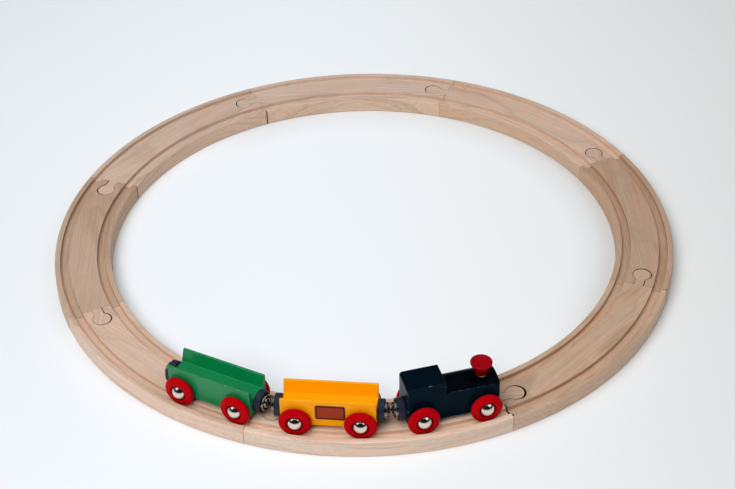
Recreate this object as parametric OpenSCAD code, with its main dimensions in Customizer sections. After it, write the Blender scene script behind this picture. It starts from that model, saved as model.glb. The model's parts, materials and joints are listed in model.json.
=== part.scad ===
// Wooden toy train: a locomotive and two open wagons on a ring of grooved track.
// The origin is the middle of the ring on the surface that it lies on, and +Z is up.
// The train runs counterclockwise. Each vehicle stands square to its own radius of the ring,
// with its wheels in the two grooves and its magnet couplings meeting the next vehicle's.

/* [Track] */
// Radius of the ring's centre line
ring_r = 202; // [196:1:212]
// Number of curved sections in the ring
sections = 8; // [6:1:10]
// Width of the track
track_w = 40; // [39:0.5:44]
// Thickness of the track
track_h = 12; // [11:0.5:14]
// Width of a wheel groove
groove_w = 6; // [5.8:0.1:6.6]
// Depth of a wheel groove
groove_depth = 3; // [2:0.25:3.5]
// Distance between the middles of the two grooves, and of an axle's two wheels
gauge = 26; // [25.5:0.1:26.5]
// Bevel along the track's long edges
track_bevel = 0.8; // [0.4:0.1:1.2]
// Gap between the ends of two sections
seam_gap = 0.4; // [0.2:0.1:0.8]

/* [Track joints] */
// Diameter of a peg's head
peg_d = 12.2; // [11:0.1:12.6]
// Width of a peg's neck
peg_neck_w = 6.2; // [5:0.1:7]
// Distance from a section's end to the middle of its peg's head
peg_reach = 11.8; // [10:0.1:13]
// Room round a peg in its socket
peg_room = 0.4; // [0.2:0.05:0.6]
// Extra depth of a socket beyond its peg
socket_extra = 0.2; // [0.1:0.05:0.4]

/* [Bodies] */
// Length of a vehicle's wooden body
body_l = 60; // [58:0.5:64]
// Width of the locomotive's body
loco_w = 18.8; // [18:0.2:19.4]
// Width of a wagon's body
wagon_w = 20.4; // [19:0.2:20.6]
// Height of a body's block
body_h = 20; // [19:0.5:22]
// Height of the axles above a body's underside
axle_rise = 4.2; // [3.8:0.1:4.6]
// Bevel on a body's upright corners
corner_bevel = 0.8; // [0.4:0.1:1.2]

/* [Wagon trough] */
// Thickness of a trough's wall along its top
wall_top = 1.6; // [1.2:0.1:2.4]
// Width of a trough's floor
trough_floor_w = 11.6; // [10:0.2:12.4]
// Depth of a trough
trough_depth = 8.4; // [7:0.2:9.4]
// Length of the label plate on a wagon's side
label_l = 18.8; // [14:0.2:20]
// Height of the label plate
label_h = 11; // [8:0.2:11.4]
// Thickness of the label plate
label_t = 0.3; // [0.2:0.05:0.5]
// Radius of the label plate's corners
label_round = 1.4; // [0.8:0.1:2]
// Height of the label's middle above a body's underside
label_rise = 11.2; // [10:0.2:12]
// Distance of the label ahead of a body's middle
label_x = 1.4; // [-3:0.2:3]

/* [Locomotive] */
// Length of the cab
cab_l = 25; // [22:0.5:28]
// Height of the cab's roof above the underside
cab_h = 28.6; // [26:0.2:31]
// Radius that rounds the roof's rear edge
cab_round = 2.2; // [1:0.1:3]
// Height of the boiler's crest above its side edges
boiler_rise = 2.7; // [2:0.1:4.5]
// Distance of the funnel ahead of the body's middle
funnel_x = 20.6; // [17:0.2:22]
// Height of the funnel above the boiler's crest
funnel_h = 9.6; // [8:0.2:12]
// Diameter of the funnel's top
funnel_top_d = 14; // [11:0.1:14.4]
// Diameter of the funnel's foot
funnel_foot_d = 7.4; // [6:0.1:8]
// Height of the straight band at the funnel's top
funnel_band = 1.2; // [0.8:0.1:2]
// Depth of the dish in the funnel's top
funnel_dish = 0.7; // [0.3:0.1:1]
// Diameter of the funnel's tenon
tenon_d = 5; // [4:0.1:5.6]
// Length of the funnel's tenon below the boiler's crest
tenon_l = 9; // [6:0.5:11]

/* [Wheels] */
// Diameter of a wheel
wheel_d = 20.8; // [20:0.2:21.2]
// Thickness of a wheel
wheel_t = 4.4; // [4.3:0.1:4.5]
// Radius that rounds a wheel's rim
rim_round = 2.1; // [1.2:0.1:2.1]
// Distance between a vehicle's axles
wheelbase = 41; // [38:0.5:42]
// Diameter of an axle
axle_d = 3.2; // [2.6:0.1:3.4]
// Running clearance round an axle
axle_play = 0.06; // [0.03:0.01:0.1]
// Gap between a wheel's boss and a wagon's side
side_play = 0.3; // [0.2:0.05:0.4]
// Lift of a wheel above the groove's floor
wheel_lift = 0.1; // [0.05:0.01:0.2]
// Diameter of a wheel's inner boss
boss_d = 7; // [6:0.1:9]
// Diameter of a hub cap
cap_d = 9.5; // [8.5:0.1:9.8]
// Height of a hub cap
cap_h = 3.2; // [2.6:0.1:3.6]
// Diameter of the dish round a hub cap
dish_d = 11.2; // [11:0.1:12]
// Depth of the dish round a hub cap
dish_depth = 0.9; // [0.3:0.1:1]

/* [Couplings] */
// Height of a coupling above a body's underside
coupling_rise = 6.6; // [6.2:0.1:7]
// Diameter of a coupling cup
cup_d = 14.8; // [13:0.1:15]
// Length of a coupling cup
cup_l = 4.6; // [4:0.1:5.5]
// Thickness of a cup's floor
cup_floor = 2; // [1.4:0.1:2.4]
// Diameter of a ring magnet
magnet_d = 11; // [10:0.1:11.4]
// How far a magnet stands out of its cup
magnet_out = 1.9; // [1.4:0.1:2.4]
// Depth of the well in a magnet's face
well_depth = 1; // [0.6:0.1:1.2]
// Diameter of the well in a magnet's face
well_d = 8.6; // [8:0.1:9]
// Diameter of a coupling pin
pin_d = 2.4; // [2:0.1:2.6]
// Diameter of a coupling pin's head
head_d = 7; // [6.4:0.1:7.4]
// How far a pin's head stands out of its magnet
head_out = 1.6; // [1.2:0.1:2]
// Depth of a pin in the wood
pin_depth = 6.8; // [5:0.1:7]
// Radial play of a magnet on its pin
magnet_play = 0.06; // [0.03:0.01:0.1]
// Gap along the pin at each side of a magnet
magnet_gap = 0.12; // [0.08:0.01:0.2]

/* [Train] */
// Place of the middle wagon on the ring, in degrees
train_angle = -98.6; // [-180:0.1:180]
// Gap between two pin heads that meet
tip_gap = 0.2; // [0.15:0.05:0.5]

/* [Hidden] */
$fn = 96;
section_angle = 360 / sections;
end_angle = asin(seam_gap / 2 / ring_r);
bevel_edge = 0.5;
// Room round a magnet in its cup
magnet_room = 0.35;
arc_steps = 6;
over = 1;
wheel_r = wheel_d / 2;
axle_r = axle_d / 2;
pin_r = pin_d / 2;
hub_z = track_h - groove_depth + wheel_lift + wheel_r;
body_z = hub_z - axle_rise;
body_top = body_z + body_h;
coupling_z = body_z + coupling_rise;
dish_z = wheel_t / 2 - dish_depth;
axle_in_cap = cap_h / 3;
boss_h = gauge / 2 - wheel_t / 2 - wagon_w / 2 - side_play;
magnet_front = cup_l + magnet_out;
head_z = magnet_front - well_depth + magnet_gap;
coupling_l = magnet_front + head_out;
boiler_r = (pow(loco_w / 2, 2) + pow(boiler_rise, 2)) / (2 * boiler_rise);
crest_z = body_top + boiler_rise;
// The funnel's flat seat goes down to where the boiler falls away at the seat's edge
seat_room = 0.2;
seat_depth = boiler_r - sqrt(pow(boiler_r, 2) - pow(funnel_foot_d / 2 + seat_room, 2));
vehicle_r = sqrt(pow(ring_r, 2) - pow(wheelbase / 2, 2));
pitch = 2 * atan((body_l / 2 + coupling_l + tip_gap / 2) / vehicle_r);
vehicles = ["loco", "yellow_wagon", "green_wagon"];
angles = [train_angle + pitch, train_angle, train_angle - pitch];
ends = ["front", "rear"];
wheel_parts = ["axle", "left_wheel", "right_wheel", "caps"];
coupling_parts = ["cup", "magnet", "pin"];
// Every coupling as its vehicle's number and its end, because the locomotive has none in front
couplings = [[0, 1], [1, 0], [1, 1], [2, 0], [2, 1]];

function section_name(k) = str("track_section_", k);
function wheel_name(v, e, part) = str(vehicles[v], "_", ends[e], "_", part);
function coupling_name(c, part) = str(vehicles[c[0]], "_", ends[c[1]], "_", part);
function side(e) = e == 0 ? 1 : -1;
function arc(x, y, r, from, to) =
    [for (i = [0:arc_steps]) let (a = from + (to - from) * i / arc_steps) [x + r * cos(a), y + r * sin(a)]];
// A dome over a circle of radius r, from its rim at height z up to height z + h on the axis
function dome(r, z, h) =
    let (big = (r * r + h * h) / (2 * h), a = acos((big - h) / big))
    [for (i = [0:arc_steps]) let (t = a * (1 - i / arc_steps)) [big * sin(t), z + h - big + big * cos(t)]];

// Vehicle number v's own frame on the ring: +X ahead along the track, +Y towards the ring's middle
module on_ring(v) rotate([0, 0, angles[v]]) translate([vehicle_r, 0, 0]) rotate([0, 0, 90]) children();

// The middle of an axle, with +Z along the axle towards the ring's middle
module on_axle(v, e) on_ring(v) translate([side(e) * wheelbase / 2, 0, hub_z]) rotate([-90, 0, 0]) children();

// A coupling's foot on the end of a body, with +Z pointing away from the body
module on_end(c) on_ring(c[0])
    translate([side(c[1]) * body_l / 2, 0, coupling_z]) rotate([0, side(c[1]) * 90, 0]) children();

// The end of a track section at angle a, with +Y along the track
module at_seam(a) rotate([0, 0, a]) translate([ring_r, 0, 0]) children();

module track_profile() {
    half = track_w / 2;
    right = concat(
        [[half - track_bevel, 0], [half, track_bevel],
         [half, track_h - track_bevel], [half - track_bevel, track_h]],
        [[gauge / 2 + groove_w / 2, track_h], [gauge / 2 + groove_w / 2, track_h - groove_depth],
         [gauge / 2 - groove_w / 2, track_h - groove_depth], [gauge / 2 - groove_w / 2, track_h]]);
    left = [for (i = [len(right) - 1:-1:0]) [-right[i][0], right[i][1]]];
    translate([ring_r, 0]) polygon(concat(right, left));
}

// The keyhole shape of a peg, grown by room all round and longer by extra
module keyhole(room, extra, h) {
    reach = peg_reach + extra;
    translate([0, reach, 0]) cylinder(d = peg_d + 2 * room, h = h);
    translate([-peg_neck_w / 2 - room, -over, 0]) cube([peg_neck_w + 2 * room, reach + over, h]);
}

module track_section(k) color("burlywood") rotate([0, 0, (k - 1) * section_angle]) difference() {
    union() {
        rotate([0, 0, end_angle - section_angle / 2])
            rotate_extrude(angle = section_angle - 2 * end_angle) track_profile();
        at_seam(section_angle / 2) keyhole(0, 0, track_h);
    }
    at_seam(-section_angle / 2) translate([0, 0, -over]) keyhole(peg_room, socket_extra, track_h + 2 * over);
}

// A block with bevelled upright corners, from x0 to x1 along the vehicle
module block(x0, x1, w, h) {
    b = corner_bevel;
    y = w / 2;
    translate([0, 0, body_z]) linear_extrude(h)
        polygon([[x0 + b, -y], [x1 - b, -y], [x1, b - y], [x1, y - b],
                 [x1 - b, y], [x0 + b, y], [x0, y - b], [x0, b - y]]);
}

// The bores that a body has for its axles, and for the pins of the couplings at its listed ends
module body_bores(coupled) {
    for (e = [0:1]) translate([side(e) * wheelbase / 2, 0, hub_z]) rotate([90, 0, 0])
        cylinder(r = axle_r + axle_play, h = gauge, center = true);
    for (e = coupled) translate([side(e) * body_l / 2, 0, coupling_z]) rotate([0, side(e) * 90, 0])
        translate([0, 0, -pin_depth]) cylinder(r = pin_r, h = pin_depth + over);
}

module wagon_body() {
    floor_z = body_top - trough_depth;
    top_w = wagon_w - 2 * wall_top;
    grow = (top_w - trough_floor_w) / trough_depth;
    difference() {
        block(-body_l / 2, body_l / 2, wagon_w, body_h);
        translate([body_l / 2 + over, 0, 0]) rotate([90, 0, -90]) linear_extrude(body_l + 2 * over)
            polygon([[-trough_floor_w / 2, floor_z], [trough_floor_w / 2, floor_z],
                     [top_w / 2 + grow * over / 2, body_top + over],
                     [-top_w / 2 - grow * over / 2, body_top + over]]);
        body_bores([0, 1]);
    }
}

module yellow_wagon_body() color("orange") on_ring(1) wagon_body();

module green_wagon_body() color("seagreen") on_ring(2) wagon_body();

module yellow_wagon_labels() color("saddlebrown") on_ring(1) for (s = [-1, 1])
    translate([label_x, s * (wagon_w + label_t) / 2, body_z + label_rise]) rotate([90, 0, 0])
        translate([0, 0, -label_t / 2]) {
            r = label_round;
            cube_l = label_l - 2 * r;
            cube_h = label_h - 2 * r;
            translate([-cube_l / 2, -label_h / 2, 0]) cube([cube_l, label_h, label_t]);
            translate([-label_l / 2, -cube_h / 2, 0]) cube([label_l, cube_h, label_t]);
            for (x = [-1, 1], y = [-1, 1]) translate([x * cube_l / 2, y * cube_h / 2, 0])
                cylinder(r = r, h = label_t);
        }

module loco_body() color("midnightblue") on_ring(0) {
    rear = -body_l / 2;
    cab_front = rear + cab_l;
    difference() {
        union() {
            block(rear, body_l / 2, loco_w, body_h);
            // Boiler: a shallow arch over the front of the block
            intersection() {
                block(cab_front - over, body_l / 2, loco_w, body_h + boiler_rise);
                translate([rear, 0, crest_z - boiler_r]) rotate([0, 90, 0]) cylinder(r = boiler_r, h = body_l);
            }
            // Cab, with its roof's rear edge rounded
            difference() {
                block(rear, cab_front, loco_w, cab_h);
                translate([rear - over, -loco_w, body_z + cab_h - cab_round])
                    cube([cab_round + over, 2 * loco_w, cab_round + over]);
            }
            intersection() {
                block(rear, cab_front, loco_w, cab_h);
                translate([rear + cab_round, 0, body_z + cab_h - cab_round]) rotate([90, 0, 0])
                    cylinder(r = cab_round, h = loco_w, center = true);
            }
        }
        body_bores([1]);
        translate([funnel_x, 0, crest_z - tenon_l]) cylinder(d = tenon_d, h = tenon_l + over);
        // Flat seat for the funnel's foot
        translate([funnel_x, 0, crest_z - seat_depth]) cylinder(d = funnel_foot_d + 2 * seat_room, h = over);
    }
}

module loco_funnel() color("crimson") on_ring(0) translate([funnel_x, 0, crest_z]) {
    foot = funnel_foot_d / 2;
    top = funnel_top_d / 2;
    rim = funnel_band / 2;
    dish = dome(top - 2 * rim, 0, funnel_dish);
    rotate_extrude() polygon(concat(
        [[0, -tenon_l], [tenon_d / 2, -tenon_l], [tenon_d / 2, -seat_depth], [foot, -seat_depth]],
        [[foot, bevel_edge], [top, funnel_h - funnel_band]],
        arc(top - rim, funnel_h - rim, rim, 0, 90),
        [for (p = dish) [p[0], funnel_h - p[1]]]));
}

module axle(v, e) color("silver") on_axle(v, e)
    cylinder(r = axle_r, h = gauge + 2 * (dish_z + axle_in_cap), center = true);

// A wheel at one end of an axle: s is 1 on the left, towards the ring's middle, and -1 on the right
module wheel(v, e, s) color("red") on_axle(v, e) rotate([s < 0 ? 180 : 0, 0, 0]) translate([0, 0, gauge / 2]) {
    half = wheel_t / 2;
    rotate_extrude() polygon(concat(
        [[axle_r, -half - boss_h], [boss_d / 2, -half - boss_h], [boss_d / 2, -half]],
        arc(wheel_r - rim_round, rim_round - half, rim_round, -90, 0),
        arc(wheel_r - rim_round, half - rim_round, rim_round, 0, 90),
        [[dish_d / 2, half], [dish_d / 2 - dish_depth / 2, dish_z], [axle_r, dish_z]]));
}

module caps(v, e) color("gainsboro") on_axle(v, e) for (s = [0, 180])
    rotate([s, 0, 0]) translate([0, 0, gauge / 2 + dish_z])
        rotate_extrude() polygon(concat(
            [[0, axle_in_cap], [axle_r, axle_in_cap], [axle_r, 0], [cap_d / 2, 0]],
            dome(cap_d / 2, bevel_edge / 2, cap_h - bevel_edge / 2)));

module cup(c) color("darkslategray") on_end(c) {
    well = magnet_d / 2 + magnet_room;
    rotate_extrude() polygon([
        [pin_r, 0], [cup_d / 2 - bevel_edge, 0], [cup_d / 2, bevel_edge], [cup_d / 2, cup_l - bevel_edge],
        [cup_d / 2 - bevel_edge, cup_l], [well, cup_l], [well, cup_floor], [pin_r, cup_floor]]);
}

module magnet(c) color("lightgray") on_end(c) {
    r = magnet_d / 2;
    lip = (magnet_d - well_d) / 4;
    back = cup_floor + magnet_gap;
    rotate_extrude() polygon(concat(
        [[pin_r + magnet_play, back], [r, back]],
        arc(r - lip, magnet_front - lip, lip, 0, 180),
        [[well_d / 2, magnet_front - well_depth], [pin_r + magnet_play, magnet_front - well_depth]]));
}

module pin(c) color("silver") on_end(c) rotate_extrude() polygon(concat(
    [[0, -pin_depth], [pin_r, -pin_depth], [pin_r, head_z], [head_d / 2, head_z]],
    dome(head_d / 2, head_z + bevel_edge, coupling_l - head_z - bevel_edge)));

for (k = [1:sections]) track_section(k);
loco_body();
loco_funnel();
yellow_wagon_body();
yellow_wagon_labels();
green_wagon_body();
for (v = [0:2], e = [0:1]) {
    axle(v, e);
    wheel(v, e, 1);
    wheel(v, e, -1);
    caps(v, e);
}
for (c = couplings) {
    cup(c);
    magnet(c);
    pin(c);
}
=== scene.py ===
# A wooden toy train and its ring of track: rounded shapes, paint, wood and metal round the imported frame
import bpy
import bmesh
import json
import math
from mathutils import Matrix, Vector


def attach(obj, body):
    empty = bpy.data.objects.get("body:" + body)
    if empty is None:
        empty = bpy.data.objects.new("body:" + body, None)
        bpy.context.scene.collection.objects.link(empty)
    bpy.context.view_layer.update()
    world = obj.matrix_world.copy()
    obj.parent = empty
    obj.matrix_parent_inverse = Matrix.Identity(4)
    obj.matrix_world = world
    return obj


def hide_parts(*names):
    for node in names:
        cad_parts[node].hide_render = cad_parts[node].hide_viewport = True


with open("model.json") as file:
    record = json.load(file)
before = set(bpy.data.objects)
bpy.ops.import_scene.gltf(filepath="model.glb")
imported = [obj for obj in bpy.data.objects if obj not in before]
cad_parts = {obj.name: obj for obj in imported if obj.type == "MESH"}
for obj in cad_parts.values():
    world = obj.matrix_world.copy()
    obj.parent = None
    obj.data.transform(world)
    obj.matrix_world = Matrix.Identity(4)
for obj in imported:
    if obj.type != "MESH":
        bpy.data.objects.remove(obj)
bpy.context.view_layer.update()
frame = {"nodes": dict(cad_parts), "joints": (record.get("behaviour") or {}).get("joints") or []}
mm = 0.001
upward = Vector((0, 0, 1))
joints = {joint["name"]: joint for joint in frame["joints"]}


# Camera, at the photograph's viewing angle

cameraSet = {
    "target": (2.4, -9.1, 6.0),  # mm, what the middle of the picture looks at
    "distance": 1190.9,  # mm
    "azimuth": -2.0,
    "elevation": 36.66,
    "roll": -1.34,
    "lens": 80.65,
}


def fromAngles(azimuth, elevation):
    a, e = math.radians(azimuth), math.radians(elevation)
    return Vector((math.sin(a) * math.cos(e), -math.cos(a) * math.cos(e), math.sin(e)))


def setCamera(s):
    bpy.ops.object.camera_add()
    camera = bpy.context.object
    back = fromAngles(s["azimuth"], s["elevation"])
    spot = (Vector(s["target"]) + back * s["distance"]) * mm
    aim = back.to_track_quat("Z", "Y").to_matrix().to_4x4()
    camera.matrix_world = Matrix.Translation(spot) @ aim @ Matrix.Rotation(math.radians(s["roll"]), 4, "Z")
    camera.data.lens = s["lens"]
    camera.data.sensor_width = 36
    camera.data.clip_end = 60
    bpy.context.scene.camera = camera


setCamera(cameraSet)
bpy.context.scene.view_settings.view_transform = "Standard"
print("camera set")


# Shader writing: a Wire is a socket that can be used in sums, and Finish.node adds any other node


class Wire:
    def __init__(self, finish, socket):
        self.finish = finish
        self.socket = socket

    def math(self, operation, *values):
        return self.finish.node("Math", {"operation": operation}, dict(enumerate(values)))

    def __add__(self, other):
        return self.math("ADD", self, other)

    def __sub__(self, other):
        return self.math("SUBTRACT", self, other)

    def __rsub__(self, other):
        return self.math("SUBTRACT", other, self)

    def __mul__(self, other):
        return self.math("MULTIPLY", self, other)

    def __pow__(self, other):
        return self.math("POWER", self, other)

    def __abs__(self):
        return self.math("ABSOLUTE", self)

    __radd__ = __add__
    __rmul__ = __mul__

    def step(self, low, high):
        limits = {"Value": self, "From Min": low, "From Max": high}
        return self.finish.node("MapRange", {"interpolation_type": "SMOOTHSTEP"}, limits)


class Finish:
    def __init__(self, owner):
        owner.use_nodes = True
        self.owner = owner
        self.tree = owner.node_tree

    def node(self, kind, settings=None, inputs=None, output=0):
        made = self.tree.nodes.new("ShaderNode" + kind)
        for key, value in (settings or {}).items():
            setattr(made, key, value)
        for key, value in (inputs or {}).items():
            self.plug(made.inputs[key], value)
        return Wire(self, made.outputs[output])

    def plug(self, socket, value):
        if isinstance(value, Wire):
            self.tree.links.new(value.socket, socket)
        else:
            socket.default_value = value

    def mix(self, factor, one, other):
        return self.node("Mix", {"data_type": "RGBA"}, {0: factor, 6: one, 7: other}, 2)

    def tinted(self, colour, tint):
        return self.node("VectorMath", {"operation": "MULTIPLY"}, {0: colour, 1: tint})

    def shade(self, colour, amount):
        grey = self.node("CombineXYZ", None, {0: amount, 1: amount, 2: amount})
        return self.tinted(colour if isinstance(colour, Wire) else colour[:3], grey)

    def named(self, attribute, output="Vector"):
        return self.node("Attribute", {"attribute_name": attribute}, None, output)

    def spot(self):
        return self.node("TexCoord", None, None, "Object")

    def axes(self, vector):
        return [self.node("SeparateXYZ", None, {0: vector}, i) for i in range(3)]

    def stretched(self, vector, scale, shift=(0, 0, 0)):
        return self.node("Mapping", None, {"Vector": vector, "Scale": scale, "Location": shift})

    def noise(self, vector, scale, detail=2.0, roughness=0.5):
        values = {"Vector": vector, "Scale": scale, "Detail": detail, "Roughness": roughness}
        return self.node("TexNoise", None, values)

    def bump(self, height, distance, strength=1.0):
        return self.node("Bump", None, {"Height": height, "Distance": distance, "Strength": strength})

    def surface(self, **values):
        shader = self.tree.nodes["Principled BSDF"]
        for key, value in values.items():
            self.plug(shader.inputs[key.replace("_", " ")], value)
        return self.owner


def colour(code):
    parts = [int(code[i:i + 2], 16) / 255 for i in (0, 2, 4)]
    return tuple(p / 12.92 if p <= 0.04045 else ((p + 0.055) / 1.055) ** 2.4 for p in parts) + (1,)


def scaled(tint, amount):
    return tuple(part * amount for part in tint) + (1,)


def times(tone, tint):
    return tuple(a * b for a, b in zip(tone, tint)) + (1,)


def newFinish(name):
    return Finish(bpy.data.materials.new(name))


# Modelling steps that the pieces share


def clearSelection():
    if bpy.context.object and bpy.context.object.mode != "OBJECT":
        bpy.ops.object.mode_set(mode="OBJECT")
    bpy.ops.object.select_all(action="DESELECT")


def pick(piece):
    clearSelection()
    piece.select_set(True)
    bpy.context.view_layer.objects.active = piece


def rounded(corners, steps, closed):
    outline = []
    last = len(corners) - 1
    for i, (x, y, radius) in enumerate(corners):
        here = Vector((x, y))
        if radius == 0 or (not closed and i in (0, last)):
            outline.append(here)
            continue
        before = (Vector(corners[i - 1][:2]) - here).normalized()
        after = (Vector(corners[(i + 1) % len(corners)][:2]) - here).normalized()
        half = before.angle(after) / 2
        middle = here + (before + after).normalized() * radius / math.sin(half)
        start = here + before * radius / math.tan(half) - middle
        finish = here + after * radius / math.tan(half) - middle
        sweep = math.copysign(math.pi - 2 * half, start.cross(finish))
        outline += [middle + Matrix.Rotation(sweep * k / steps, 2) @ start for k in range(steps + 1)]
    return outline


def domed(radius, rise, top, steps):
    sphere = (radius ** 2 + rise ** 2) / (2 * rise)
    reach = math.asin(radius / sphere)
    turns = [reach * (1 - i / steps) for i in range(steps + 1)]
    return [(sphere * math.sin(a), top - sphere + sphere * math.cos(a), 0) for a in turns]


def drawn(name, points, closed):
    clearSelection()
    bpy.ops.mesh.primitive_plane_add(size=mm)
    piece = bpy.context.object
    piece.name = name
    bpy.ops.object.mode_set(mode="EDIT")
    bpy.ops.mesh.select_mode(type="VERT")
    bpy.ops.mesh.select_all(action="SELECT")
    bpy.ops.mesh.merge(type="CENTER")
    bpy.ops.transform.translate(value=points[0])
    for here, there in zip(points, points[1:]):
        bpy.ops.mesh.extrude_region_move(TRANSFORM_OT_translate={"value": there - here})
    bpy.ops.mesh.select_all(action="SELECT")
    if closed:
        bpy.ops.mesh.edge_face_add()
    return piece


def closeUp():
    bpy.ops.mesh.select_all(action="SELECT")
    bpy.ops.mesh.remove_doubles(threshold=0.002 * mm)
    bpy.ops.mesh.normals_make_consistent(inside=False)
    bpy.ops.object.mode_set(mode="OBJECT")


def turned(name, corners, bored, turns=72, arcSteps=5):
    points = [Vector((p.x, 0, p.y)) * mm for p in rounded(corners, arcSteps, bored)]
    piece = drawn(name, points + points[:1] if bored else points, False)
    bpy.ops.mesh.spin(steps=turns, angle=2 * math.pi, center=(0, 0, 0), axis=upward)
    closeUp()
    return piece


def planed(name, corners, start, end, arcSteps=4):
    points = [Vector((start, p.x, p.y)) * mm for p in rounded(corners, arcSteps, True)]
    piece = drawn(name, points, True)
    bpy.ops.mesh.extrude_region_move(TRANSFORM_OT_translate={"value": ((end - start) * mm, 0, 0)})
    closeUp()
    return piece


def rod(radius, low, high, matrix, sides=48):
    clearSelection()
    bpy.ops.mesh.primitive_cylinder_add(vertices=sides, radius=radius * mm, depth=(high - low) * mm)
    tool = bpy.context.object
    tool.data.transform(matrix @ Matrix.Translation((0, 0, (low + high) / 2 * mm)))
    return tool


def cuboid(size, middle):
    clearSelection()
    bpy.ops.mesh.primitive_cube_add(size=1)
    block = bpy.context.object
    block.data.transform(Matrix.Translation(middle * mm) @ Matrix.Diagonal((*(size * mm), 1)))
    return block


def bar(low, high):
    low, high = Vector(low), Vector(high)
    return cuboid(high - low, (high + low) / 2)


def combine(piece, tool, operation):
    pick(piece)
    for mesh in (piece.data, tool.data):
        mesh.update()
        mesh.update_tag()
    change = piece.modifiers.new("combine", "BOOLEAN")
    change.object = tool
    change.operation = operation
    change.solver = "EXACT"
    bpy.ops.object.modifier_apply(modifier=change.name)
    bpy.data.objects.remove(tool)


def soften(piece, width, segments=3, above=50):
    pick(piece)
    change = piece.modifiers.new("soften", "BEVEL")
    change.width = width * mm
    change.segments = segments
    change.limit_method = "ANGLE"
    change.angle_limit = math.radians(above)
    change.miter_outer = "MITER_ARC"
    bpy.ops.object.modifier_apply(modifier=change.name)


def smooth(piece, above=35):
    pick(piece)
    bpy.ops.object.shade_smooth_by_angle(angle=math.radians(above))
    change = piece.modifiers.new("even", "WEIGHTED_NORMAL")
    change.keep_sharp = True
    bpy.ops.object.modifier_apply(modifier=change.name)


# Every piece keeps where it was on the bench, in mm, so that its finish follows it round the ring, and
# which of its faces are the slim ones along an outer edge, where paint wears first and an edge highlight is
# painted

slimFace = 0.6  # mm
leastBend = math.radians(12)


def markBench(piece):
    mesh = piece.data
    for name, kind, domain in (("bench", "FLOAT_VECTOR", "POINT"), ("facing", "FLOAT_VECTOR", "FACE"),
                               ("edge", "FLOAT", "FACE")):
        mesh.attributes.new(name, kind, domain)
    bench, facing, edge = (mesh.attributes[name] for name in ("bench", "facing", "edge"))
    for vertex in mesh.vertices:
        bench.data[vertex.index].vector = vertex.co / mm
    for face in mesh.polygons:
        facing.data[face.index].vector = face.normal
    reader = bmesh.new()
    reader.from_mesh(mesh)
    for face in reader.faces:
        longest = max(face.edges, key=lambda line: line.calc_length())
        slim = face.calc_area() < slimFace * mm * longest.calc_length()
        edge.data[face.index].value = slim and longest.calc_face_angle_signed(0) > leastBend
    reader.free()


def copied(master, name, matrix):
    piece = master.copy()
    piece.data = master.data.copy()
    piece.name = name
    piece.data.transform(matrix)
    bpy.context.scene.collection.objects.link(piece)
    return piece


def joined(name, parts):
    clearSelection()
    for part in parts:
        part.select_set(True)
    bpy.context.view_layer.objects.active = parts[0]
    bpy.ops.object.join()
    parts[0].name = name
    return parts[0]


def fit(piece, body, node, finish):
    piece.data.materials.clear()
    piece.data.materials.append(finish)
    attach(piece, body)
    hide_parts(node)


# Track: one grooved section, copied round the ring, with the socket of each cut in its own place

track = {
    "ring": 202.0,
    "width": 40.0,
    "height": 12.0,
    "edgeRound": 0.9,
    "gauge": 26.0,
    "grooveWidth": 6.0,
    "grooveDepth": 3.0,
    "grooveRound": 0.35,
    "seamGap": 0.24,
    "headDiameter": 12.2,
    "neckWidth": 6.2,
    "reach": 11.8,
    "neckRoom": 0.5,
    "extraDepth": 0.2,
    "endRound": 0.08,
    "spinSteps": 30,
}

# Painted light and shade on the side walls and in the grooves beside the top; the end grain, darker, with
# painted shade in the seams; and painted shade on the socket's wall round the peg
beech = {
    "outerWallLightTint": (1.0, 1.04, 1.08), "innerWallLightTint": (1.03, 0.98, 0.91), "grooveShadeTint": (0.98, 0.95, 0.91),
    "grooveLightTint": (1.04, 1.05, 1.06), "tanTint": (0.94, 0.84, 0.74), "pinkTint": (1.04, 0.97, 0.95),
    "endGrainAndSeamShade": 0.45, "socketShade": 0.85, "boardShift": 37.0, "heartSway": 6.0, "warp": 11.0, "ringPitch": 0.42,
}

# Tone of each section's wood and of its peg, the painted light and shade on its outer and inner walls beside
# its top, how much the streaks show, how far its board was from the tree's heart, in mm, and its socket: how
# it sits off the peg, along and outwards, and the room round the head, in mm; sections 2 to 4 get painted
# light in their grooves
sectionLooks = [
    {"tone": "b2957e", "peg": "c3a792", "wallLight": (1.03, 1.08), "streak": 0.8, "heart": 60,
     "socket": (0.08, 0.15, 0.60)},
    {"tone": "ceb39e", "peg": "ceb39e", "wallLight": (1.03, 0.87), "streak": 0.9, "heart": 45,
     "socket": (-0.20, 0.00, 0.65), "groove": beech["grooveLightTint"]},
    {"tone": "ccb5a3", "peg": "ccb5a3", "wallLight": (1.00, 0.96), "streak": 1.2, "heart": 18,
     "socket": (0.18, 0.00, 0.5), "groove": beech["grooveLightTint"]},
    {"tone": "c7af9d", "peg": "c7af9d", "wallLight": (1.10, 1.00), "streak": 1.1, "heart": 40,
     "socket": (0.18, 0.03, 0.5), "groove": beech["grooveLightTint"]},
    {"tone": "b79d88", "peg": "c6ab96", "wallLight": (1.05, 1.05), "streak": 0.8, "heart": 70,
     "socket": (-0.10, 0.34, 0.55)},
    {"tone": "c9ae9a", "peg": "c9ae9a", "wallLight": (1.14, 1.02), "streak": 0.9, "heart": 50,
     "socket": (0.02, -0.30, 0.60)},
    {"tone": "dabfaa", "peg": "bda087", "wallLight": (0.95, 1.00), "streak": 0.8, "heart": 55,
     "socket": (0.00, 0.10, 0.5)},
    {"tone": "ba9d85", "peg": "ba9d85", "wallLight": (1.14, 1.30), "streak": 1.2, "heart": 65,
     "socket": (0.45, 0.25, 0.8)},
]
sectionAngle = 360 / len(sectionLooks)

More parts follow.
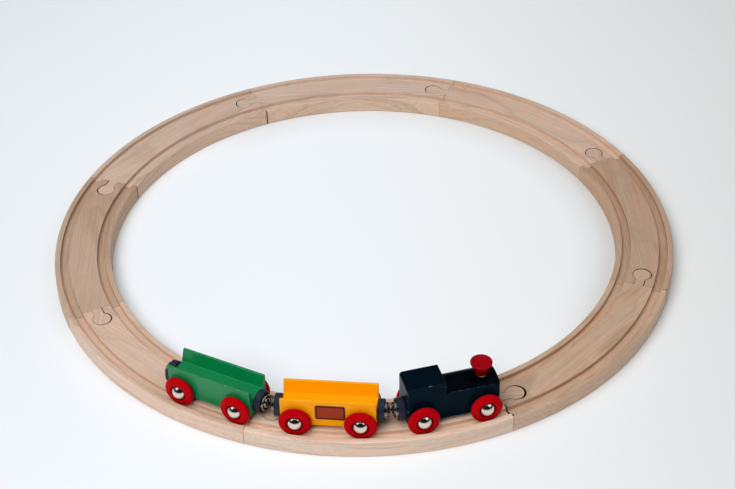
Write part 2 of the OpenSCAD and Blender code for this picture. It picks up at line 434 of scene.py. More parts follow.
# Seams left a little open: the section whose socket end stands off, by how much, and over what part of the
# width, in mm
openSeams = {
    1: {"gap": 1.2, "from": 18.6, "to": 21.0},
    4: {"gap": 1.2, "from": -21.0, "to": -18.4},
    5: {"gap": 1.2, "from": -21.0, "to": -18.4},
    8: {"gap": 1.0, "from": 7.0, "to": 18.8},
}


def sectionProfile(t):
    half, top = t["width"] / 2, t["height"]
    bed = top - t["grooveDepth"]
    near, far = ((t["gauge"] + side * t["grooveWidth"]) / 2 for side in (-1, 1))
    right = [(half, 0, t["edgeRound"]), (half, top, t["edgeRound"]), (far, top, t["grooveRound"]),
             (far, bed, 0), (near, bed, 0), (near, top, t["grooveRound"])]
    return right + [(-x, y, r) for x, y, r in reversed(right)]


def socketMiddle(look):
    along, out, room = look["socket"]
    return Vector((out, track["reach"] + track["extraDepth"] + along, 0)) * mm


def keyhole(t, headRoom, neckRoom, reach, across, low, high):
    middle = Matrix.Translation((across * mm, reach * mm, 0))
    head = rod(t["headDiameter"] / 2 + headRoom, low, high, middle, 64)
    neckHalf = t["neckWidth"] / 2 + neckRoom
    neck = bar((across - neckHalf, -1, low), (across + neckHalf, reach, high))
    combine(head, neck, "UNION")
    return head


def atSeam(t, angle):
    return Matrix.Rotation(math.radians(angle), 4, "Z") @ Matrix.Translation((t["ring"] * mm, 0, 0))


def plainSection(t):
    points = [Vector((t["ring"] + p.x, 0, p.y)) * mm for p in rounded(sectionProfile(t), 4, True)]
    gapAngle = math.asin(t["seamGap"] / 2 / t["ring"])
    sweep = math.radians(sectionAngle) - 2 * gapAngle
    piece = drawn("section", points, True)
    bpy.ops.mesh.spin(steps=t["spinSteps"], angle=sweep, center=(0, 0, 0), axis=upward)
    closeUp()
    piece.data.transform(Matrix.Rotation(sweep / 2, 4, "Z"))  # spin goes the other way round
    peg = keyhole(t, 0, 0, t["reach"], 0, 0, t["height"])
    peg.data.transform(atSeam(t, sectionAngle / 2))
    combine(piece, peg, "UNION")
    return piece


def ringBand(radius, inner, outer):
    return radius.step(inner - 0.5, inner) * (1 - radius.step(outer, outer + 0.5))


def beechGrain(f, look, seed):
    shift = beech["boardShift"] * seed  # each section comes from another stretch of the board
    x, y, z = f.axes(f.named("bench"))
    bench = f.stretched(f.named("bench"), (1, 1, 1), (0, shift, 0))
    warp = f.noise(f.stretched(bench, (0.03, 0.011, 0.05)), 1, 2) * beech["warp"]
    heartX = track["ring"] + beech["heartSway"] * math.sin(seed)
    depthInTree = ((x - heartX) ** 2 + (z + look["heart"]) ** 2) ** 0.5 + warp
    across = f.node("CombineXYZ", None, {0: depthInTree * beech["ringPitch"], 1: (y + shift) * 0.004})
    late = f.noise(across, 1, 3, 0.6).step(0.46, 0.66)
    lines = f.noise(f.stretched(bench, (1.1, 0.010, 1.1)), 1, 4, 0.7)
    fibre = f.noise(f.stretched(bench, (2.8, 0.04, 2.8)), 1, 3, 0.6)
    flecks = f.noise(f.stretched(bench, (2.6, 0.20, 2.6)), 1, 1).step(0.60, 0.70)
    blush = f.noise(f.stretched(bench, (0.09, 0.008, 0.09)), 1, 2)
    streak = 0.60 * (lines - 0.5) + 0.14 * (late - 0.4) + 0.40 * (fibre - 0.5)
    depth = (1.03 - look["streak"] * streak) * (1 - 0.12 * flecks)
    tone = colour(look["tone"])
    pale = f.mix(blush.step(0.4, 0.65), tone, times(tone, beech["pinkTint"]))
    tanShare = late * 0.35 + lines.step(0.45, 0.75) * 0.4
    wood = f.mix(tanShare, pale, times(tone, beech["tanTint"]))
    height = fibre * 0.7 - flecks * 0.5 + lines * 0.3
    return wood, depth, fibre, height


def beechFinish(name, look, seed):
    f = newFinish(name)
    wood, depth, fibre, height = beechGrain(f, look, seed)
    x, y, z = f.axes(f.named("bench"))
    faceOut, faceAlong, faceUp = f.axes(f.named("facing"))
    # Radius tells a side wall from a groove's wall, which faces the same way
    radius = (x * x + y * y) ** 0.5
    ringInner, ringOuter = (track["ring"] + side * track["width"] / 2 for side in (-1, 1))
    outerWall = faceOut.step(0.6, 0.75) * radius.step(ringOuter - 1, ringOuter - 0.5)
    innerWall = (0 - faceOut).step(0.6, 0.75) * (1 - radius.step(ringInner + 0.5, ringInner + 1))
    belowTop = 1 - z.step(track["height"] - 0.8, track["height"] - 0.3)
    inGroove = ringBand(radius, ringInner + 2, ringOuter - 2) * belowTop
    outerWallLit, innerWallLit = look["wallLight"]
    # Painted shade: the grooves are tinted darker and warmer; in sections 2 to 4 they are painted lighter
    # instead
    tint = f.mix(inGroove, (1, 1, 1, 1), look.get("groove", beech["grooveShadeTint"]) + (1,))
    # Painted light and shade: each section's outer and inner walls get a tint and a level of their own, as
    # the lamps light them
    tint = f.mix(outerWall, tint, scaled(beech["outerWallLightTint"], outerWallLit))
    tint = f.mix(innerWall, tint, scaled(beech["innerWallLightTint"], innerWallLit))
    half = math.radians(sectionAngle / 2)
    onPeg = (math.cos(half) * y - math.sin(half) * x).step(-0.3, 0.3)
    pegTint = tuple(a / b for a, b in zip(colour(look["peg"]), colour(look["tone"])))
    wood = f.tinted(wood, f.mix(onPeg, tint, pegTint))
    middle = atSeam(track, -sectionAngle / 2) @ socketMiddle(look)
    fromMiddle = ((x - middle.x / mm) ** 2 + (y - middle.y / mm) ** 2) ** 0.5
    socketRadius = track["headDiameter"] / 2 + look["socket"][2]
    upright = 1 - abs(faceUp).step(0.3, 0.6)
    # Painted shade: the socket's wall round the peg is darkened, where shade falls in the gap
    shadedSocketWall = ringBand(fromMiddle, socketRadius - 0.3, socketRadius + 0.3) * upright
    # End faces are darker for their end grain, and as painted shade in the seams between sections
    onEnd = abs(faceAlong).step(0.75, 0.9)
    depth = depth * (1 - beech["endGrainAndSeamShade"] * onEnd) * (1 - beech["socketShade"] * shadedSocketWall)
    return f.surface(Base_Color=f.shade(wood, depth), Roughness=0.50 + 0.14 * fibre, Specular_IOR_Level=0.35,
                     Normal=f.bump(height, 0.03 * mm))


section = plainSection(track)
for i, look in enumerate(sectionLooks):
    piece = copied(section, f"beech_section_{i + 1}", Matrix.Identity(4))
    middle, room = socketMiddle(look) / mm, look["socket"][2]
    cutters = [keyhole(track, room, track["neckRoom"], middle.y, middle.x, -1, track["height"] + 1)]
    if i + 1 in openSeams:
        seam = openSeams[i + 1]
        cutters.append(bar((seam["from"], -1, -1), (seam["to"], seam["gap"], track["height"] + 1)))
    for cutter in cutters:
        cutter.data.transform(atSeam(track, -sectionAngle / 2))
        combine(piece, cutter, "DIFFERENCE")
    soften(piece, track["endRound"], 2)
    for vertex in piece.data.vertices:  # rounding can push a corner of the socket out of its face
        vertex.co.z = min(max(vertex.co.z, 0), track["height"] * mm)
    smooth(piece)
    markBench(piece)
    piece.data.transform(Matrix.Rotation(math.radians(i * sectionAngle), 4, "Z"))
    fit(piece, "track", f"track_section_{i + 1}", beechFinish(f"beech{i + 1}", look, i))
bpy.data.objects.remove(section)
print("track:", len(sectionLooks), "sections")


# Where each vehicle stands: +X ahead, +Y towards the ring's middle, the height of the track's own frame

vehicles = ["loco", "yellow_wagon", "green_wagon"]
ends = {"front": 1, "rear": -1}


def vehiclePlace(name):
    spots = [Vector(joints[f"{name}_{end}_wheels_roll"]["pos_m"]) for end in ends]
    inward = Vector(joints[f"{name}_front_wheels_roll"]["axis"])
    ahead = inward.cross(upward)
    place = Matrix((ahead, inward, upward)).transposed().to_4x4()
    middle = (spots[0] + spots[1]) / 2
    return Matrix.Translation((middle.x, middle.y, 0)) @ place


places = {name: vehiclePlace(name) for name in vehicles}
hubHeight = joints["loco_front_wheels_roll"]["pos_m"][2] / mm
couplingHeight = joints["loco_rear_magnet_turn"]["pos_m"][2] / mm


# Wooden bodies

body = {
    "length": 60.0,
    "width": 18.8,  # the locomotive's
    "height": 20.0,
    "axleRise": 4.2,  # axles above the underside
    "wheelbase": 41.0,
    "axleBore": 1.66,
    "pinBore": 1.2,
    "pinDepth": 6.8,
    "edge": 0.45,
}
underside = hubHeight - body["axleRise"]
bodyTop = underside + body["height"]


def paintFinish(name, s):
    f = newFinish(name)
    bench = f.named("bench")
    spot = f.spot()
    grain = f.noise(f.stretched(bench, (0.035, 0.9, 0.9)), 1, 4, 0.55)
    pores = f.noise(f.stretched(bench, (0.35, 3.5, 3.5)), 1, 2, 0.6).step(0.60, 0.72)
    clouds = f.noise(spot, 60, 2)
    chips = f.noise(spot, s["chipScale"], 4, 0.65)
    edge = f.named("edge", "Fac")
    worn = edge * chips.step(s["wearFrom"], s["wearFrom"] + 0.12)
    # Lighter paint along the slim edge faces: partly paint rubbed thin, partly a painted highlight on the
    # rounded edges
    rubAndSheen = edge * chips.step(s["wearFrom"] - 0.16, s["wearFrom"] + 0.06)
    depth = 1 + 0.10 * (clouds - 0.5) + 0.08 * (grain - 0.5) - 0.05 * pores
    # Painted shade: up-facing faces are painted darker, and the boiler's top darker still
    if "boilerPaintedShade" in s:
        faceUp = f.axes(f.named("facing"))[2]
        ahead = f.axes(bench)[0] - (engine["cabLength"] - body["length"] / 2)
        depth = depth * (1 - s["boilerPaintedShade"] * ahead.step(0, 0.5) * faceUp.step(0.5, 0.8))
        depth = depth * (1 - s["topPaintedShade"] * faceUp.step(0.5, 0.8))
    paint = f.shade(colour(s["paint"]), depth)
    paint = f.mix(rubAndSheen * 0.7, paint, colour(s["rubAndSheen"]))
    paint = f.mix(worn * s["wear"], paint, colour(s["under"]))
    height = grain * 0.5 - pores * 0.25 - worn * 0.6 + f.noise(bench, 0.9, 2) * 0.12
    dull = s["roughness"] + 0.10 * (clouds - 0.5) + 0.25 * worn + 0.06 * pores
    return f.surface(Base_Color=paint, Roughness=dull, Specular_IOR_Level=s["gloss"],
                     Normal=f.bump(height, s["relief"] * mm))


def boreOut(piece, couplings):
    alongY = Matrix.Rotation(math.pi / 2, 4, "X")
    alongX = Matrix.Rotation(math.pi / 2, 4, "Y")
    for side in ends.values():
        axle = Matrix.Translation((side * body["wheelbase"] / 2 * mm, 0, hubHeight * mm)) @ alongY
        combine(piece, rod(body["axleBore"], -body["width"], body["width"], axle), "DIFFERENCE")
    for end in couplings:
        foot = Matrix.Translation((ends[end] * body["length"] / 2 * mm, 0, couplingHeight * mm)) @ alongX
        combine(piece, rod(body["pinBore"], -body["pinDepth"], body["pinDepth"], foot), "DIFFERENCE")


# Wagons: a block with a trough planed along it, open at both ends

trough = {
    "width": 20.4, "wall": 1.6, "floorWidth": 11.6, "depth": 8.4,
    "rimRound": 0.5, "floorRound": 0.7, "footRound": 0.6,
}
yellowPaint = {
    "paint": "f79e02", "rubAndSheen": "ffbe3c", "under": "e8c48a", "roughness": 0.24, "gloss": 0.16,
    "wear": 0.30, "wearFrom": 0.64, "chipScale": 420, "relief": 0.02,
}
greenPaint = {
    "paint": "047a42", "rubAndSheen": "46a878", "under": "a9b58c", "roughness": 0.24, "gloss": 0.42,
    "wear": 0.25, "wearFrom": 0.62, "chipScale": 420, "relief": 0.02,
}
wagonPaints = {"yellow_wagon": ("yellow_paint", yellowPaint), "green_wagon": ("green_paint", greenPaint)}


def wagonBlock(b, t):
    half, wall = t["width"] / 2, t["width"] / 2 - t["wall"]
    floor = bodyTop - t["depth"]
    right = [(half, underside, t["footRound"]), (half, bodyTop, t["rimRound"]),
             (wall, bodyTop, t["rimRound"]), (t["floorWidth"] / 2, floor, t["floorRound"])]
    corners = right + [(-x, y, r) for x, y, r in reversed(right)]
    piece = planed("wagon", corners, -b["length"] / 2, b["length"] / 2)
    soften(piece, b["edge"])
    boreOut(piece, ends)
    smooth(piece)
    markBench(piece)
    return piece


wagon = wagonBlock(body, trough)
for name, (slot, look) in wagonPaints.items():
    piece = copied(wagon, f"{name}_block", places[name])
    fit(piece, name, f"{name}_body", paintFinish(slot, look))
bpy.data.objects.remove(wagon)
print("wagons: bodies planed and painted")


# Locomotive: a block with an arched boiler, and a cab with its roof's rear edge rounded

engine = {
    "cabLength": 25.0,
    "cabHeight": 28.6,
    "roofRound": 2.2,
    "crest": 2.7,  # boiler's crest above its side edges
    "archSteps": 24,
    "overlap": 3.0,  # how far the boiler runs into the cab
    "edge": 0.4,
    "funnelAhead": 20.6,
    "tenon": 2.5,
    "tenonLength": 9.0,
    "seat": 3.9,
    "seatDepth": 0.45,
}
locoPaint = {
    "paint": "01131f", "rubAndSheen": "123440", "under": "7d8c86", "roughness": 0.16, "gloss": 0.03,
    "wear": 0.7, "wearFrom": 0.56, "chipScale": 300, "relief": 0.012, "boilerPaintedShade": 0.75, "topPaintedShade": 0.35,
}


def boilerOutline(b, e):
    half, rise = b["width"] / 2, e["crest"]
    radius = (half ** 2 + rise ** 2) / (2 * rise)
    reach = math.asin(half / radius)
    turns = [reach - 2 * reach * i / e["archSteps"] for i in range(e["archSteps"] + 1)]
    low = bodyTop + rise - radius
    arch = [(radius * math.sin(a), low + radius * math.cos(a), 0) for a in turns]
    return [(-half, underside, 0), (half, underside, 0)] + arch


def locoBlock(b, e):
    rear = -b["length"] / 2
    front, roof = rear + e["cabLength"], underside + e["cabHeight"]
    piece = planed("loco", boilerOutline(b, e), front - e["overlap"], b["length"] / 2)
    middle = Vector((rear + e["cabLength"] / 2, 0, underside + e["cabHeight"] / 2))
    cab = cuboid(Vector((e["cabLength"], b["width"], e["cabHeight"])), middle)
    pick(cab)
    bpy.ops.object.mode_set(mode="EDIT")
    bpy.ops.mesh.select_mode(type="EDGE")
    bpy.ops.mesh.select_all(action="DESELECT")
    bpy.ops.object.mode_set(mode="OBJECT")
    for line in cab.data.edges:
        spots = [cab.data.vertices[i].co / mm for i in line.vertices]
        line.select = all(abs(p.x - rear) < 0.01 and abs(p.z - roof) < 0.01 for p in spots)
    bpy.ops.object.mode_set(mode="EDIT")
    bpy.ops.mesh.bevel(offset=e["roofRound"] * mm, segments=8)
    bpy.ops.object.mode_set(mode="OBJECT")
    combine(piece, cab, "UNION")
    soften(piece, e["edge"], 3, 40)
    boreOut(piece, ["rear"])
    crest = Matrix.Translation((e["funnelAhead"] * mm, 0, (bodyTop + e["crest"]) * mm))
    combine(piece, rod(e["tenon"], -e["tenonLength"], 1, crest), "DIFFERENCE")
    combine(piece, rod(e["seat"], -e["seatDepth"], 1, crest), "DIFFERENCE")
    smooth(piece)
    markBench(piece)
    return piece


loco = locoBlock(body, engine)
loco.name = "loco_block"
loco.data.transform(places["loco"])
fit(loco, "loco", "loco_body", paintFinish("loco_paint", locoPaint))
print("locomotive: body painted")


# Funnel, turned, with bare wood where its foot was never painted

funnel = {
    "height": 9.6, "topDiameter": 14.0, "footDiameter": 7.4, "band": 1.2, "dish": 0.7, "lip": 0.5,
    "tenon": 2.5, "tenonLength": 9.0, "seatDepth": 0.4, "bareHeight": 0.1, "bareFront": 3.3,
    "paint": "940210", "coneShadePaint": "700210", "bare": "c79a68", "roughness": 0.2, "gloss": 0.06,
}


def turnedFunnel(s):
    top, foot, high = s["topDiameter"] / 2, s["footDiameter"] / 2, s["height"]
    dishWide = top - 2 * s["lip"]
    return turned("loco_chimney", [
        (0, -s["tenonLength"], 0), (s["tenon"], -s["tenonLength"], 0.4), (s["tenon"], -s["seatDepth"], 0),
        (foot, -s["seatDepth"], 0.25), (foot, 0.5, 0.6), (top, high - s["band"], 0.8),
        (top, high, s["lip"]), (dishWide, high, 0.3), (dishWide * 0.8, high - s["dish"], 1.2),
        (0, high - s["dish"], 0)], False, 80)


def funnelFinish(s):
    f = newFinish("funnel_paint")
    bench = f.named("bench")
    x, y, z = f.axes(bench)
    spot = f.spot()
    ragged = z + 0.9 * (f.noise(spot, 260, 3) - 0.5) + 0.5 * (y + s["bareFront"])
    bare = 1 - ragged.step(s["bareHeight"] - 0.25, s["bareHeight"] + 0.25)
    turning = f.noise(f.stretched(bench, (0.2, 0.2, 5.0)), 1, 2)
    depth = 1 + 0.12 * (f.noise(spot, 90, 2) - 0.5) + 0.06 * (turning - 0.5)
    # Painted shade: the cone below the band is painted a darker red, as it faces down
    onCone = 1 - z.step(s["height"] - s["band"] - 0.6, s["height"] - s["band"])
    paint = f.shade(f.mix(onCone, colour(s["paint"]), colour(s["coneShadePaint"])), depth)
    paint = f.mix(bare, paint, colour(s["bare"]))
    dull = s["roughness"] + 0.3 * bare + 0.08 * (turning - 0.5)
    return f.surface(Base_Color=paint, Roughness=dull, Specular_IOR_Level=s["gloss"],
                     Normal=f.bump(turning - 0.4 * bare, 0.03 * mm))


chimney = turnedFunnel(funnel)
smooth(chimney)
markBench(chimney)
crestHeight = bodyTop + engine["crest"]
chimney.data.transform(places["loco"] @ Matrix.Translation((engine["funnelAhead"] * mm, 0, crestHeight * mm)))
fit(chimney, "loco", "loco_funnel", funnelFinish(funnel))
print("funnel turned")


# Label plates on the yellow wagon, a border round a bare field

label = {
    "length": 18.8, "height": 11.0, "thick": 0.3, "corner": 1.4, "border": 0.9, "sunk": 0.08, "slope": 0.06,
    "lip": 0.08, "lipRise": 0.05, "rise": 11.2, "ahead": 1.4, "ink": "3a120a", "field": "96300f",
}


def labelPlate(s):
    clearSelection()
    bpy.ops.mesh.primitive_plane_add(size=1)
    plate = bpy.context.object
    plate.data.transform(Matrix.Diagonal((s["length"] * mm, s["height"] * mm, 1, 1)))
    bpy.ops.object.mode_set(mode="EDIT")
    bpy.ops.mesh.select_all(action="SELECT")
    bpy.ops.mesh.bevel(offset=s["corner"] * mm, segments=8, affect="VERTICES")
    bpy.ops.mesh.select_all(action="SELECT")
    bpy.ops.mesh.extrude_region_move(TRANSFORM_OT_translate={"value": (0, 0, s["thick"] * mm)})
    bpy.ops.mesh.inset(thickness=s["lip"] * mm, depth=s["lipRise"] * mm)
    bpy.ops.mesh.inset(thickness=s["border"] * mm)
    bpy.ops.mesh.inset(thickness=s["slope"] * mm, depth=-s["sunk"] * mm)
    bpy.ops.mesh.select_all(action="SELECT")
    bpy.ops.mesh.normals_make_consistent(inside=False)
    bpy.ops.object.mode_set(mode="OBJECT")
    smooth(plate, 25)
    markBench(plate)
    return plate


def labelFinish(s):
    f = newFinish("label_print")
    x, y, z = f.axes(f.named("bench"))
    inside = 0.2 + s["border"]
    acrossIn = 1 - abs(x).step(s["length"] / 2 - inside - 0.15, s["length"] / 2 - inside + 0.05)
    upIn = 1 - abs(y).step(s["height"] / 2 - inside - 0.15, s["height"] / 2 - inside + 0.05)
    clouds = f.noise(f.spot(), 300, 3)
    printed = f.mix(acrossIn * upIn, colour(s["ink"]), colour(s["field"]))
    return f.surface(Base_Color=f.shade(printed, 0.9 + 0.2 * clouds), Roughness=0.30 + 0.12 * clouds,
                     Specular_IOR_Level=0.15)


plate = labelPlate(label)
labelHeight = (underside + label["rise"]) * mm
plates = []
for side in (-1, 1):
    face = Matrix.Translation((label["ahead"] * mm, side * trough["width"] / 2 * mm, labelHeight))
    turn = Matrix.Rotation(0 if side < 0 else math.pi, 4, "Z") @ Matrix.Rotation(math.pi / 2, 4, "X")
    plates.append(copied(plate, f"plate{side}", places["yellow_wagon"] @ face @ turn))
bpy.data.objects.remove(plate)
labels = joined("yellow_wagon_label_plates", plates)
fit(labels, "yellow_wagon", "yellow_wagon_labels", labelFinish(label))
print("labels set")


# Wheels with their hub caps, turned about +Z, which points out of the vehicle's side

wheel = {
    "diameter": 20.8, "thick": 4.4, "rimRound": 2.0, "backRound": 1.8, "crown": 0.9, "axle": 1.6, "boss": 3.5,
    "dishDiameter": 11.2, "dishDepth": 0.9, "dishLip": 0.9, "dishSlope": 0.45, "gauge": 26.0, "sidePlay": 0.3,
    "plastic": "b0020a", "treadDirt": "6d0c0e", "creaseShade": "4a0405", "roughness": 0.14, "gloss": 0.02,
}
# The cap's metal is tinted warm: partly the plating's own colour, partly a painted reflection of the beech
# track
cap = {
    "diameter": 9.5, "height": 3.2, "flange": 0.25, "tuck": 0.1, "steps": 12, "metal": "e0d2ca",
    "roughness": 0.06,
}
axleBar = {"metal": "b4b5b8", "roughness": 0.24}


def turnedWheel(s):
    half, rim, dish = s["thick"] / 2, s["diameter"] / 2, s["dishDiameter"] / 2
    floor = half - s["dishDepth"]
    bossHeight = s["gauge"] / 2 - half - trough["width"] / 2 - s["sidePlay"]
    return turned("wheel", [
        (s["axle"], -half - bossHeight, 0), (s["boss"], -half - bossHeight, 0.1), (s["boss"], -half, 0.1),
        (rim, -half, s["backRound"]), (rim, half - s["crown"], s["rimRound"]),
        (dish + s["dishLip"], half, 0.5), (dish, half - 0.05, 0.2), (dish - s["dishSlope"], floor, 0.1),
        (s["axle"], floor, 0)], True, 96)


def turnedCap(s, w):
    radius, hollow = s["diameter"] / 2, s["height"] / 3
    dome = domed(radius, s["height"] - s["flange"], s["height"], s["steps"])
    return turned("cap", [(0, hollow, 0), (w["axle"], hollow, 0), (w["axle"], 0, 0),
                          (radius - s["tuck"], 0, 0)] + dome, False, 64)


def plasticFinish(s):
    f = newFinish("wheel_plastic")
    x, y, z = f.axes(f.named("bench"))
    radius = (x * x + y * y) ** 0.5
    spot = f.spot()
    rub = f.noise(spot, 700, 4, 0.6)
    tread = radius.step(s["diameter"] / 2 - 0.5, s["diameter"] / 2 - 0.05)
    dirt = tread * rub.step(0.42, 0.66)
    depth = 1 + 0.10 * (f.noise(spot, 110, 2) - 0.5)
    red = f.mix(dirt * 0.6, f.shade(colour(s["plastic"]), depth), colour(s["treadDirt"]))
    # Painted shade: a dark ring in the crease round the cap's dish
    crease = 1 - radius.step(s["dishDiameter"] / 2 - 0.35, s["dishDiameter"] / 2 + 0.25)
    red = f.mix(crease * 0.75, red, colour(s["creaseShade"]))
    scuffs = f.noise(f.stretched(spot, (900, 900, 260)), 1, 3, 0.7).step(0.60, 0.78)
    dull = s["roughness"] + 0.22 * dirt + 0.10 * scuffs
    return f.surface(Base_Color=red, Roughness=dull, Specular_IOR_Level=s["gloss"],
                     Normal=f.bump(rub * tread + 0.2 * scuffs, 0.012 * mm))


def chromeFinish(name, s):
    f = newFinish(name)
    spot = f.spot()
    smears = f.noise(spot, 420, 3, 0.6)
    specks = f.noise(spot, 2600, 1).step(0.70, 0.76)
    metal = f.shade(colour(s["metal"]), 1 - 0.10 * smears.step(0.5, 0.8) - 0.25 * specks)
    return f.surface(Base_Color=metal, Metallic=1.0, Roughness=s["roughness"] + 0.07 * smears.step(0.45, 0.8))


def steelFinish(s):
    f = newFinish("axle_steel")
    drawnLines = f.noise(f.stretched(f.spot(), (300, 300, 2400)), 1, 3)
    metal = f.shade(colour(s["metal"]), 0.85 + 0.3 * drawnLines)
    return f.surface(Base_Color=metal, Metallic=1.0, Roughness=s["roughness"] + 0.16 * drawnLines)


wheelMaster = turnedWheel(wheel)
capMaster = turnedCap(cap, wheel)
for master in (wheelMaster, capMaster):
    smooth(master, 40)
    markBench(master)
redPlastic = plasticFinish(wheel)
chrome = chromeFinish("cap_chrome", cap)
axleSteel = steelFinish(axleBar)
for name in vehicles:
    for end in ends:
        joint = joints[f"{name}_{end}_wheels_roll"]
        wheelset = joint["child"]
        inward = Vector(joint["axis"])
        caps = []
        for sideName, outward in (("left", inward), ("right", -inward)):
            spin = outward.to_track_quat("Z", "X").to_matrix().to_4x4()
            middle = Vector(joint["pos_m"]) + outward * wheel["gauge"] / 2 * mm
            piece = copied(wheelMaster, f"{name}_{end}_{sideName}_tyre", Matrix.Translation(middle) @ spin)
            fit(piece, wheelset, f"{name}_{end}_{sideName}_wheel", redPlastic)
            seat = Matrix.Translation((0, 0, (wheel["thick"] / 2 - wheel["dishDepth"]) * mm))
            caps.append(copied(capMaster, f"cap{sideName}", Matrix.Translation(middle) @ spin @ seat))
        both = joined(f"{name}_{end}_hubcaps", caps)
        fit(both, wheelset, f"{name}_{end}_caps", chrome)
        axle = frame["nodes"][f"{name}_{end}_axle"]
        axle.data.materials.clear()
        axle.data.materials.append(axleSteel)
for master in (wheelMaster, capMaster):
    bpy.data.objects.remove(master)
print("wheels: 12 on 6 axles")


# Couplings: a cup on the body's end, a ring magnet in it and the pin that holds both

cup = {
    "diameter": 14.8, "length": 4.6, "floor": 2.0, "edge": 0.55, "wellRadius": 5.85,
    "plastic": "1e2431", "roughness": 0.38, "gloss": 0.3,
}
magnet = {
    "diameter": 11.0, "out": 1.9, "well": 8.6, "wellDepth": 1.0, "play": 0.06, "gap": 0.12,
    "metal": "938c83", "roughness": 0.18,
}
pin = {
    "diameter": 2.4, "head": 7.0, "out": 1.6, "depth": 6.8, "brim": 0.5, "tuck": 0.1, "steps": 10,
    "metal": "8f8c88", "roughness": 0.16,
}


def turnedCup(s, p):
    outer, well, bore = s["diameter"] / 2, s["wellRadius"], p["diameter"] / 2
    return turned("cup", [
        (bore, 0, 0), (outer, 0, s["edge"]), (outer, s["length"], s["edge"]), (well, s["length"], 0.25),
        (well, s["floor"], 0.2), (bore, s["floor"], 0)], True, 72)


def turnedMagnet(s, c, p):
    outer, well, bore = s["diameter"] / 2, s["well"] / 2, p["diameter"] / 2 + s["play"]
    back, front = c["floor"] + s["gap"], c["length"] + s["out"]
    lip = (outer - well) / 2 - 0.02
    return turned("magnet", [
        (bore, back, 0), (outer, back, 0.3), (outer, front, lip), (well, front, lip),
        (well, front - s["wellDepth"], 0.15), (bore, front - s["wellDepth"], 0)], True, 72)


def turnedPin(s, c, m):
    shank, head = s["diameter"] / 2, s["head"] / 2
    low = c["length"] + m["out"] - m["wellDepth"] + m["gap"]
    tip = c["length"] + m["out"] + s["out"]
    dome = domed(head, tip - low - s["brim"], tip, s["steps"])
    return turned("pin", [(0, -s["depth"], 0), (shank, -s["depth"], 0.2), (shank, low, 0),
                          (head - s["tuck"], low, 0)] + dome, False, 64)


def cupFinish(s):
    f = newFinish("cup_plastic")
    spot = f.spot()
    skin = f.noise(spot, 1900, 2)
    rub = f.noise(spot, 320, 4, 0.6).step(0.55, 0.75)
    depth = 0.92 + 0.16 * f.noise(spot, 130, 2) + 0.35 * rub
    dull = s["roughness"] + 0.14 * skin + 0.08 * rub
    return f.surface(Base_Color=f.shade(colour(s["plastic"]), depth), Roughness=dull,
                     Specular_IOR_Level=s["gloss"], Normal=f.bump(skin, 0.02 * mm))


def magnetFinish(s):
    f = newFinish("magnet_nickel")
    x, y, z = f.axes(f.named("bench"))
    radius = (x * x + y * y) ** 0.5
    spot = f.spot()
    tarnish = f.noise(spot, 380, 4, 0.6)
    # Painted shade: the magnet's well is painted darker
    inWell = 1 - radius.step(s["well"] / 2 - 0.3, s["well"] / 2 + 0.1)
    depth = (1 - 0.35 * tarnish.step(0.45, 0.75)) * (1 - 0.75 * inWell)
    return f.surface(Base_Color=f.shade(colour(s["metal"]), depth), Metallic=1.0,
                     Roughness=s["roughness"] + 0.20 * tarnish.step(0.4, 0.8) + 0.15 * inWell)


cupMaster = turnedCup(cup, pin)
magnetMaster = turnedMagnet(magnet, cup, pin)
pinMaster = turnedPin(pin, cup, magnet)
masters = (cupMaster, magnetMaster, pinMaster)
for master in masters:
    smooth(master, 40)
    markBench(master)
cupPlastic = cupFinish(cup)
nickel = magnetFinish(magnet)
pinSteel = chromeFinish("pin_steel", pin)
for name in vehicles:
    for end in ends:
        joint = joints.get(f"{name}_{end}_magnet_turn")
        if joint is None:
            continue
        outward = Vector(joint["axis"])
        foot = Vector(joint["pos_m"]) - outward * cup["length"] * mm
        place = Matrix.Translation(foot) @ outward.to_track_quat("Z", "X").to_matrix().to_4x4()
        piece = copied(cupMaster, f"{name}_{end}_coupling_cup", place)
        fit(piece, name, f"{name}_{end}_cup", cupPlastic)
        piece = copied(magnetMaster, f"{name}_{end}_ring_magnet", place)
        fit(piece, joint["child"], f"{name}_{end}_magnet", nickel)
        piece = copied(pinMaster, f"{name}_{end}_coupling_pin", place)
        fit(piece, name, f"{name}_{end}_pin", pinSteel)
for master in masters:
    bpy.data.objects.remove(master)
print("couplings set")


# Floor, studio light

# Painted light and shade on the paper: how it lifts away from the front and drops to the right, to both
# sides, to the left, and a painted shadow beside the ring
floorSet = {
    "size": 14.0, "drop": 0.15, "tint": "f2f6f9", "farTint": "f4f5f3", "level": 0.96, "backLift": 0.26,
    "rightDrop": 0.12, "sideDrop": 0.13, "leftDrop": 0.06, "ringShadow": 0.15, "ringShadowReach": 0.035,
}
# The sky's bands are heights, from where one tint begins to where the next is full
studio = {
    "zenith": "d2d5da", "horizon": "5c5f64", "darkRoom": "1c1e22", "lowWall": "d4cfca", "skyLight": 1.0,
    "zenithBand": (0.5, 0.95), "darkBand": (0.85, 0.99), "lowWallBand": (0.10, 0.20), "frontBand": (0.0, 0.3),
    "boxes": [
        {"name": "keyBox", "azimuth": -30, "elevation": 43, "distance": 2.4, "width": 1.5, "height": 1.1,
         "power": 29.5, "mirrored": False},
        {"name": "topBox", "azimuth": -40, "elevation": 70, "distance": 1.4, "width": 0.9, "height": 0.7,
         "power": 5.4, "mirrored": False},
        {"name": "leftBox", "azimuth": -70, "elevation": 46, "distance": 2.1, "width": 1.2, "height": 1.0,
         "power": 3.6, "mirrored": True},
        {"name": "rightBox", "azimuth": 66, "elevation": 46, "distance": 2.1, "width": 1.2, "height": 1.0,
         "power": 6.2, "mirrored": True},
    ],
}


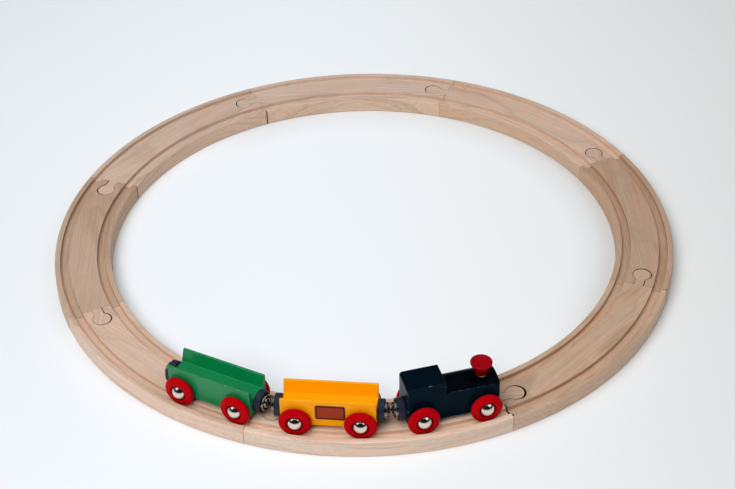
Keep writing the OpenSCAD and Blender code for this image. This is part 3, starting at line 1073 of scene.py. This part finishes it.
def layFloor(s):
    clearSelection()
    bpy.ops.mesh.primitive_plane_add(size=s["size"], location=(0, 0, -s["drop"] * mm))
    floor = bpy.context.object
    floor.name = "floor"
    f = newFinish("floor_paper")
    spot = f.spot()
    x, y, z = f.axes(spot)
    # Painted light and shade: the paper is lighter towards the back and darker to the right, to both sides
    # and to the left
    away = s["backLift"] * y.step(-0.5, 0.6) - s["rightDrop"] * x.step(-0.5, 0.5)
    away = away - s["sideDrop"] * abs(x).step(0, 0.5)
    away = away - s["leftDrop"] * (0 - x).step(0.0, 0.35) * y.step(-0.3, 0.0)
    # Painted shadow on the paper beside the ring's inner wall
    fromRing = abs((x * x + y * y) ** 0.5 - (track["ring"] - track["width"] / 2) * mm)
    away = away - s["ringShadow"] * (1 - fromRing.step(0.0, s["ringShadowReach"])) * (x + y).step(-0.02, 0.1)
    tint = f.mix(x.step(-0.1, 0.35), colour(s["tint"]), colour(s["farTint"]))
    paper = f.shade(tint, s["level"] + away + 0.03 * f.noise(spot, 2.2, 3))
    floor.data.materials.append(f.surface(Base_Color=paper, Roughness=0.75, Specular_IOR_Level=0.2))


def hangLights(s):
    for box in s["boxes"]:
        toward = fromAngles(box["azimuth"], box["elevation"])
        bpy.ops.object.light_add(type="AREA")
        lamp = bpy.context.object
        lamp.name = box["name"]
        lamp.data.shape = "RECTANGLE"
        lamp.data.size = box["width"]
        lamp.data.size_y = box["height"]
        lamp.data.energy = box["power"]
        lamp.visible_glossy = box["mirrored"]
        aim = toward.to_track_quat("Z", "Y").to_matrix().to_4x4()
        lamp.matrix_world = Matrix.Translation(toward * box["distance"]) @ aim


def paintSky(s):
    world = bpy.context.scene.world or bpy.data.worlds.new("studio")
    bpy.context.scene.world = world
    f = Finish(world)
    x, y, z = f.axes(f.node("TexCoord", None, None, "Generated"))
    openSky = f.mix(z.step(*s["zenithBand"]), colour(s["horizon"]), colour(s["zenith"]))
    front = (0 - y).step(*s["frontBand"])
    tint = f.mix(front * (1 - z.step(*s["darkBand"])), openSky, colour(s["darkRoom"]))
    tint = f.mix(front * (1 - z.step(*s["lowWallBand"])), tint, colour(s["lowWall"]))
    back = f.tree.nodes["Background"]
    f.plug(back.inputs["Color"], tint)
    f.plug(back.inputs["Strength"], s["skyLight"])


layFloor(floorSet)
hangLights(studio)
paintSky(studio)
print("studio lit")
